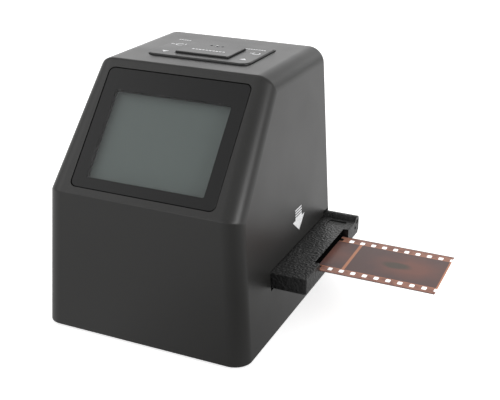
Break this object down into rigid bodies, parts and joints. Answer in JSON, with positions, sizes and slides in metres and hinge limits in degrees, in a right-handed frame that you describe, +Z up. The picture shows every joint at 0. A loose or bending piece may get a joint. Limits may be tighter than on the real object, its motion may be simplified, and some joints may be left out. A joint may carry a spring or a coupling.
{
  "type": "film scanner",
  "caption": "Desktop film scanner with a sloping display, a rocker keypad on top and a film tray that slides through its sides.",
  "frame": {"origin": "middle of the housing's footprint, on the surface that its feet stand on", "axes": "+X to the user's right, the way the film tray slides out; +Y to the back; +Z up"},
  "size_m": [0.1597, 0.098, 0.1042],
  "materials": {
    "shell_plastic": "satin moulded, fine grain",
    "base_plastic": "satin moulded",
    "rubber": "matt",
    "screw_steel": "blackened zinc",
    "window_acrylic": "polished clear acrylic",
    "mask_ink": "printed black",
    "display": "satin polariser over glass",
    "inner_plastic": "matt black",
    "key_plastic": "satin",
    "clear_plastic": "polished",
    "circuit_board": "green solder mask",
    "chip_black": "moulded epoxy",
    "tray_plastic": "fine sparked texture",
    "film_base": "orange film base",
    "spring_steel": "bright",
    "white_plastic": "white",
    "opal": "opal",
    "lens_metal": "black anodised",
    "lens_glass": "coated",
    "socket_metal": "plated",
    "sensor_ceramic": "package",
    "led_white": "phosphor"
  },
  "bodies": {
    "housing": {"housing_shell": "shell_plastic", "base_cover": "base_plastic", "rubber_feet": "rubber", "base_screws": "screw_steel", "chassis_screws": "screw_steel", "display_window": "window_acrylic", "display_mask": "mask_ink", "lcd_panel": "display", "lcd_bracket": "inner_plastic", "lcd_screws": "screw_steel", "key_carrier": "inner_plastic", "carrier_screws": "screw_steel", "key_board": "circuit_board", "key_board_screws": "screw_steel", "key_switches": "chip_black", "status_led": "led_white", "lower_guide": "inner_plastic", "detent_spring": "spring_steel", "backlight_case": "white_plastic", "backlight_board": "circuit_board", "backlight_leds": "led_white", "diffuser": "opal", "upper_guide": "inner_plastic", "guide_screws": "screw_steel", "light_shaft": "inner_plastic", "shaft_screws": "screw_steel", "lens_holder": "inner_plastic", "lens_barrel": "lens_metal", "lens_elements": "lens_glass", "image_sensor": "sensor_ceramic", "sensor_board": "circuit_board", "sensor_screws": "screw_steel", "main_board": "circuit_board", "processor_chip": "chip_black", "memory_chip": "chip_black", "usb_socket": "socket_metal", "card_socket": "socket_metal"},
    "tray": {"tray_base": "tray_plastic", "tray_lid": "tray_plastic", "tray_hinge_pin": "spring_steel"},
    "film": {"film_strip": "film_base"},
    "centre_key": {"centre_key": "key_plastic", "light_pipe": "clear_plastic"},
    "rocker_ring": {"rocker_ring": "inner_plastic"},
    "keypad_plate": {"keypad_plate": "key_plastic"}
  },
  "joints": [
    {"name": "tray_slide", "type": "slide", "parent": "housing", "child": "tray", "axis": [1, 0, 0], "range_m": [0, 0.102]},
    {"name": "film_feed", "type": "slide", "parent": "tray", "child": "film", "axis": [1, 0, 0], "range_m": [-0.0837, 0.0303]},
    {"name": "centre_key_press", "type": "slide", "parent": "housing", "child": "centre_key", "axis": [0, 0, -1], "range_m": [0, 0.0005], "stiffness_N_per_m": 150, "springref_m": -0.0004},
    {"name": "keypad_rock_front_back", "type": "hinge", "parent": "housing", "child": "rocker_ring", "pos_m": [0, 0.01365, 0.1003], "axis": [1, 0, 0], "range_deg": [-1.3, 1.3], "stiffness_Nm_per_rad": 0.03},
    {"name": "keypad_rock_left_right", "type": "hinge", "parent": "rocker_ring", "child": "keypad_plate", "pos_m": [0, 0.01365, 0.1003], "axis": [0, 1, 0], "range_deg": [-1.3, 1.3], "stiffness_Nm_per_rad": 0.03}
  ]
}
